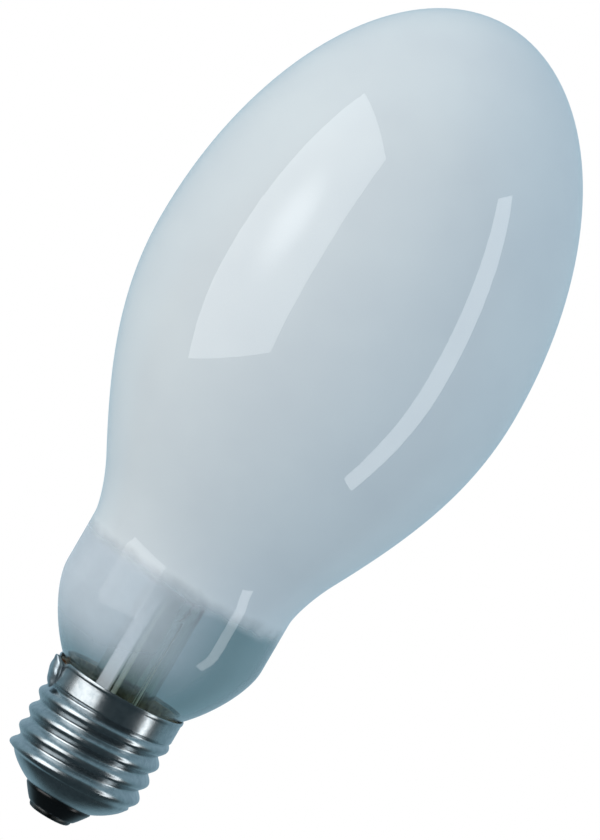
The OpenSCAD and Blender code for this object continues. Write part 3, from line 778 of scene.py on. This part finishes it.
# Nickel plate over brass: bright and cool, with rolling lines round it and faint handling marks
plated_brass, tree = new_material("nickel-plated brass")
place = add(tree, "TexCoord").outputs["Object"]
parts = add(tree, "SeparateXYZ", {"Vector": place})
lines = add(
    tree,
    "TexNoise",
    {"W": parts.outputs["Z"], "Scale": 2600, "Detail": 3},
    noise_dimensions="1D",
)
smudge = add(tree, "TexNoise", {"Vector": place, "Scale": 130, "Detail": 5, "Roughness": 0.6})
specks = add(tree, "TexNoise", {"Vector": place, "Scale": 900, "Detail": 4})
rough = add(
    tree,
    "MapRange",
    {"Value": smudge.outputs["Fac"], "From Min": 0.3, "From Max": 0.7, "To Min": 0.21, "To Max": 0.3},
)
tone = add(
    tree,
    "ValToRGB",
    {"Fac": specks.outputs["Fac"]},
    stops=[(0.3, linear("A0A8AC")), (0.6, linear("B2B8BB"))],
)
line_bump = add(
    tree, "Bump", {"Height": lines.outputs["Fac"], "Strength": 0.1, "Distance": 0.02 * MM}
)
plate = add(
    tree,
    "BsdfPrincipled",
    {
        "Base Color": tone.outputs["Color"],
        "Metallic": 1,
        "Roughness": rough.outputs["Result"],
        "Normal": line_bump.outputs["Normal"],
    },
)
add(tree, "OutputMaterial", {"Surface": plate.outputs["BSDF"]})
finish(cap, plated_brass, "cap_metal", "cap_shell")

# Cement: a grey-brown baked paste between the neck and the collar.
cement, tree = new_material("baked cement")
place = add(tree, "TexCoord").outputs["Object"]
grit = add(tree, "TexNoise", {"Vector": place, "Scale": 1200, "Detail": 5})
tone = add(
    tree,
    "ValToRGB",
    {"Fac": grit.outputs["Fac"]},
    stops=[(0.3, linear("5F5B4E")), (0.7, linear("8B8676"))],
)
grit_bump = add(tree, "Bump", {"Height": grit.outputs["Fac"], "Strength": 0.6, "Distance": 0.1 * MM})
paste = add(
    tree,
    "BsdfPrincipled",
    {"Base Color": tone.outputs["Color"], "Roughness": 0.85, "Normal": grit_bump.outputs["Normal"]},
)
add(tree, "OutputMaterial", {"Surface": paste.outputs["BSDF"]})
paint(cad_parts["cement_ring"], cement)

# The insulator: black glass run molten into the foot of the cap, fire-polished where it shows,
# and greyed with dust round its end face. The contact is set in the middle of it.
insulator_r = 4.9
insulator_round = 0.5
insulator_low_angle = 42
insulator_high_angle = 33
contact_t = 1
cap_gap = 0.1
throat_r = inset(cap_shoulder, cap_t)[0].x - cap_gap
lead_hole_r = 1.1
plug = inset(cap_shoulder, cap_t + cap_gap)
insulator_corner = [
    Vector(
        (
            insulator_r - insulator_round + insulator_round * sin(a),
            contact_t + insulator_round * (1 - cos(a)),
        )
    )
    for a in (radians(6 * i) for i in range(9))
]
insulator_outline = (
    [Vector((lead_hole_r, contact_t)), Vector((insulator_r * 0.6, contact_t))]
    + insulator_corner[:-1]
    + blend(
        insulator_corner[-1],
        insulator_low_angle,
        (throat_r, foot_z - 0.5),
        insulator_high_angle,
        steps=8,
    )
    + [Vector((throat_r, foot_z - 0.2)), Vector((throat_r, foot_z + cap_t))]
    + [p for p in plug if p.y > foot_z + cap_t]
    + [Vector((plug[-1].x - 1, thread_low_z)), Vector((lead_hole_r, thread_low_z))]
    + [Vector((lead_hole_r, contact_t))]
)
black_glass, tree = new_material("moulded black glass")
place = add(tree, "TexCoord").outputs["Object"]
parts = add(tree, "SeparateXYZ", {"Vector": place})
dust = add(tree, "TexNoise", {"Vector": place, "Scale": 1400, "Detail": 4})
low = add(
    tree,
    "MapRange",
    {"Value": parts.outputs["Z"], "From Min": 1.7 * MM, "From Max": 1.1 * MM},
)
dusty = add(tree, "Math", {0: low.outputs["Result"], 1: dust.outputs["Fac"]}, operation="MULTIPLY")
tone = add(
    tree,
    "ValToRGB",
    {"Fac": dusty.outputs["Value"]},
    stops=[(0.4, linear("060708")), (0.75, linear("3A4043"))],
)
wave = add(tree, "TexNoise", {"Vector": place, "Scale": 250, "Detail": 2})
wave_bump = add(tree, "Bump", {"Height": wave.outputs["Fac"], "Strength": 0.25, "Distance": 0.1 * MM})
body = add(
    tree,
    "BsdfPrincipled",
    {
        "Base Color": tone.outputs["Color"],
        "Roughness": 0.28,
        "IOR": 1.52,
        "Normal": wave_bump.outputs["Normal"],
    },
)
add(tree, "OutputMaterial", {"Surface": body.outputs["BSDF"]})
insulator = turned("insulator_glass", insulator_outline, steps=96)
bpy.ops.object.shade_smooth_by_angle(angle=radians(35))
finish(insulator, black_glass, "insulator", "cap_insulator")

# The contact: a pressed and plated brass disc with a rounded rim. Its colour is made dark grey, with
# lighter specks and rougher patches. The lead's end is soldered in its middle.
contact_outline = [
    Vector((lead_hole_r, contact_t)),
    Vector((lead_hole_r, 0.06)),
    Vector((lead_hole_r + 0.06, 0)),
    Vector((3.3, 0)),
    Vector((3.65, 0.04)),
    Vector((3.95, 0.16)),
    Vector((4.15, 0.35)),
    Vector((4.26, 0.6)),
    Vector((4.3, 0.8)),
    Vector((4.3, contact_t)),
    Vector((lead_hole_r, contact_t)),
]
contact_plate, tree = new_material("dark speckled plated brass")
place = add(tree, "TexCoord").outputs["Object"]
contact_specks = add(tree, "TexNoise", {"Vector": place, "Scale": 500, "Detail": 5})
# The contact's colour is made dark all over, from near black to mid grey in specks.
tone = add(
    tree,
    "ValToRGB",
    {"Fac": contact_specks.outputs["Fac"]},
    stops=[(0.35, linear("2E2D2B")), (0.62, linear("6E7070"))],
)
rough = add(tree, "MapRange", {"Value": contact_specks.outputs["Fac"], "To Min": 0.35, "To Max": 0.6})
disc = add(
    tree,
    "BsdfPrincipled",
    {"Base Color": tone.outputs["Color"], "Metallic": 1, "Roughness": rough.outputs["Result"]},
)
add(tree, "OutputMaterial", {"Surface": disc.outputs["BSDF"]})
contact = turned("contact_disc", contact_outline, steps=96)
bpy.ops.object.shade_smooth_by_angle(angle=radians(35))
finish(contact, contact_plate, "contact_metal", "centre_contact")

# Solder: tin-lead, melted on by hand. One drop fills the contact's hole; the other holds the side
# lead to the collar, with the cut end of the lead standing off it.
solder_metal, tree = new_material("hand-flowed solder")
place = add(tree, "TexCoord").outputs["Object"]
frost = add(tree, "TexNoise", {"Vector": place, "Scale": 800, "Detail": 5})
tone = add(
    tree,
    "ValToRGB",
    {"Fac": frost.outputs["Fac"]},
    stops=[(0.3, linear("8F9BA3")), (0.7, linear("C6D2D8"))],
)
frost_bump = add(tree, "Bump", {"Height": frost.outputs["Fac"], "Strength": 0.3, "Distance": 0.1 * MM})
drop = add(
    tree,
    "BsdfPrincipled",
    {
        "Base Color": tone.outputs["Color"],
        "Metallic": 1,
        "Roughness": 0.42,
        "Normal": frost_bump.outputs["Normal"],
    },
)
add(tree, "OutputMaterial", {"Surface": drop.outputs["BSDF"]})
finish(rounded_copy("contact_solder", "contact_drop"), solder_metal, "solder", "contact_solder")

bead_size = Vector((2.2, 4.4, 6.4))
bead_proud = 0.2
bead_peak = 0.6
bead_lumps = 0.12
bead_lump_scale = 0.7
bead_gap = 0.01
bead_z = cap_len - nick_depth - bead_size.z / 2 + 1
bead_lean = Matrix.Rotation(radians(-12), 3, "Y")
bpy.ops.object.select_all(action="DESELECT")
bpy.ops.mesh.primitive_uv_sphere_add(segments=48, ring_count=32, radius=0.5)
bead = bpy.context.object
bead.name = bead.data.name = "side_solder_bead"
for vertex in bead.data.vertices:
    spot = Vector((vertex.co.x * bead_size.x, vertex.co.y * bead_size.y, vertex.co.z * bead_size.z))
    spot *= 1 + bead_lumps * noise.noise(spot * bead_lump_scale)
    spot.x -= bead_peak * max(0, spot.z / bead_size.z * 2) ** 3
    spot = bead_lean @ spot + Vector((-collar_r - bead_proud, 0, bead_z))
    out = sqrt(spot.x**2 + spot.y**2)
    lip_share = ramp((spot.z - (cap_len - lip_h - nick_depth)) / (lip_h / 2))
    least = collar_r + bead_gap + lip_out * lip_share
    if out < least:
        spot.x, spot.y = spot.x * least / out, spot.y * least / out
    vertex.co = spot * MM
bpy.ops.object.shade_smooth()
finish(bead, solder_metal, "solder", "side_solder")

# The floor is a plain pale sheet well below the lamp. The picture's background is white, so the floor
# and the world show white to the camera. The world shows its own colours in glass and metal, and the
# floor is not seen in them.
bpy.ops.object.select_all(action="DESELECT")
floor_r = 1.7
floor_z = -0.25
bpy.ops.mesh.primitive_circle_add(
    vertices=96, radius=floor_r, fill_type="NGON", location=(0, 0, floor_z)
)
floor = bpy.context.object
floor.name = floor.data.name = "floor"
pale_sheet, tree = new_material("pale matt sheet")
path = add(tree, "LightPath")
sheet = add(tree, "BsdfDiffuse", {"Color": linear("D8DCDE")})
glow = add(tree, "Emission", {"Color": (1, 1, 1, 1), "Strength": path.outputs["Is Camera Ray"]})
seen = add(tree, "AddShader", {0: sheet.outputs["BSDF"], 1: glow.outputs["Emission"]})
add(tree, "OutputMaterial", {"Surface": seen.outputs["Shader"]})
floor.data.materials.append(pale_sheet)
floor.visible_glossy = floor.visible_transmission = False

# The room: slightly blue light all round, brighter from above and the left. Bright metal and glass
# see it dark on the camera's side and grey behind the lamp, as in a studio with lights at the sides.
world = bpy.data.worlds.new("studio")
scene.world = world
world.use_nodes = True
world.cycles.sampling_method = "NONE"
dull_side = (0.58, 0.67, 0.8, 1)
lit_side = (0.84, 0.91, 1, 1)
through_glass = (0.13, 0.22, 0.27, 1)
white = (1, 1, 1, 1)
tree = world.node_tree
tree.nodes.clear()
path = add(tree, "LightPath")
direction = add(tree, "TexCoord").outputs["Generated"]
back_and_up = Vector((forward.x, forward.y, 0)).normalized() + Vector((0, 0, 0.7))
behind = add(tree, "VectorMath", {0: direction, 1: tuple(back_and_up)}, operation="DOT_PRODUCT")
room = add(
    tree,
    "MapRange",
    {"Value": behind.outputs["Value"], "From Min": -0.4, "From Max": 1},
)
seen_room = add(
    tree,
    "ValToRGB",
    {"Fac": room.outputs["Result"]},
    stops=[
        (0, (0.04, 0.06, 0.07, 1)),
        (0.2, (0.06, 0.09, 0.1, 1)),
        (0.45, (0.25, 0.4, 0.47, 1)),
        (1, (0.36, 0.52, 0.62, 1)),
    ],
)
left_and_up = Vector((0, 0, 0.5)) - 0.7 * lamp_right
bright_side = add(tree, "VectorMath", {0: direction, 1: tuple(left_and_up)}, operation="DOT_PRODUCT")
light_share = add(
    tree, "MapRange", {"Value": bright_side.outputs["Value"], "From Min": -1, "From Max": 1}
)
even = add(
    tree,
    "ValToRGB",
    {"Fac": light_share.outputs["Result"]},
    stops=[(0, dull_side), (1, lit_side)],
)
shade = add(
    tree,
    "MixRGB",
    {
        "Fac": path.outputs["Is Glossy Ray"],
        "Color1": even.outputs["Color"],
        "Color2": seen_room.outputs["Color"],
    },
)
shade = add(
    tree,
    "MixRGB",
    {
        "Fac": path.outputs["Is Transmission Ray"],
        "Color1": shade.outputs["Color"],
        "Color2": through_glass,
    },
)
shade = add(
    tree,
    "MixRGB",
    {"Fac": path.outputs["Is Camera Ray"], "Color1": shade.outputs["Color"], "Color2": white},
)
background = add(tree, "Background", {"Color": shade.outputs["Color"], "Strength": 1})
world_output = tree.nodes.new("ShaderNodeOutputWorld")
tree.links.new(background.outputs["Background"], world_output.inputs["Surface"])


def panel(name, left, right, low, high, power, colour, seen_by, lean=0):
    """A flat light that faces the lamp between two upright edges. Each edge is (degrees round from the
    camera's place, metres away); low and high are its heights against the lamp's middle. It shows in
    one kind of ray, diffuse or glossy, and is turned in its own plane by lean degrees."""
    ends = []
    for turn, away in (left, right):
        angle = camera_turn + radians(turn)
        ends.append(Vector((away * cos(angle), away * sin(angle), aim_up)))
    across = (ends[1] - ends[0]).normalized()
    up = Vector((0, 0, 1))
    data = bpy.data.lights.new(name, "AREA")
    data.shape = "RECTANGLE"
    data.size, data.size_y = (ends[1] - ends[0]).length, high - low
    data.energy = power
    data.color = linear(colour)[:3]
    light = bpy.data.objects.new(name, data)
    scene.collection.objects.link(light)
    middle = (ends[0] + ends[1]) / 2 + up * (low + high) / 2
    away_from_lamp = across.cross(up)
    if away_from_lamp.dot(middle) < 0:
        across, away_from_lamp = -across, -away_from_lamp
    lean_over = Matrix.Rotation(radians(lean), 3, away_from_lamp)
    axes = Matrix((lean_over @ across, lean_over @ up, away_from_lamp)).transposed()
    light.matrix_world = Matrix.Translation(middle) @ axes.to_4x4()
    light.visible_diffuse = seen_by == "diffuse"
    light.visible_glossy = seen_by == "glossy"
    light.visible_transmission = light.visible_camera = False
    return light


# The large soft panel to the left and the narrow one to the right, as glass and metal show them,
# and the soft light that they throw.
left_panel = panel("left_panel", (-76, 0.52), (-25, 0.7), -0.26, 0.47, 2.7, "FFFFFF", "glossy", 5)
panel("right_panel", (62, 0.6), (74, 0.6), -0.45, 0.46, 1.1, "FFFFFF", "glossy")
panel("left_light", (-80, 0.9), (-25, 0.9), -0.1, 0.5, 2.7, "FFE3CF", "diffuse")

# The lamp behind the left panel's cloth makes a soft brighter spot on it.
spot_gain = 2.2
left_panel.data.use_nodes = True
tree = left_panel.data.node_tree
tree.nodes.clear()
cloth = add(tree, "NewGeometry").outputs["Parametric"]
spot = add(tree, "Mapping", {"Vector": cloth, "Location": (-0.42, -0.52, 0)})
spot_size = add(tree, "Mapping", {"Vector": spot.outputs["Vector"], "Scale": (3.4, 4.2, 0)})
from_spot = add(tree, "VectorMath", {0: spot_size.outputs["Vector"]}, operation="LENGTH")
brightness = add(
    tree,
    "MapRange",
    {
        "Value": from_spot.outputs["Value"],
        "From Min": 0,
        "From Max": 1,
        "To Min": spot_gain,
        "To Max": 1,
    },
    interpolation_type="SMOOTHERSTEP",
)
cloth_light = add(tree, "Emission", {"Strength": brightness.outputs["Result"]})
add(tree, "OutputLight", {"Surface": cloth_light.outputs["Emission"]})
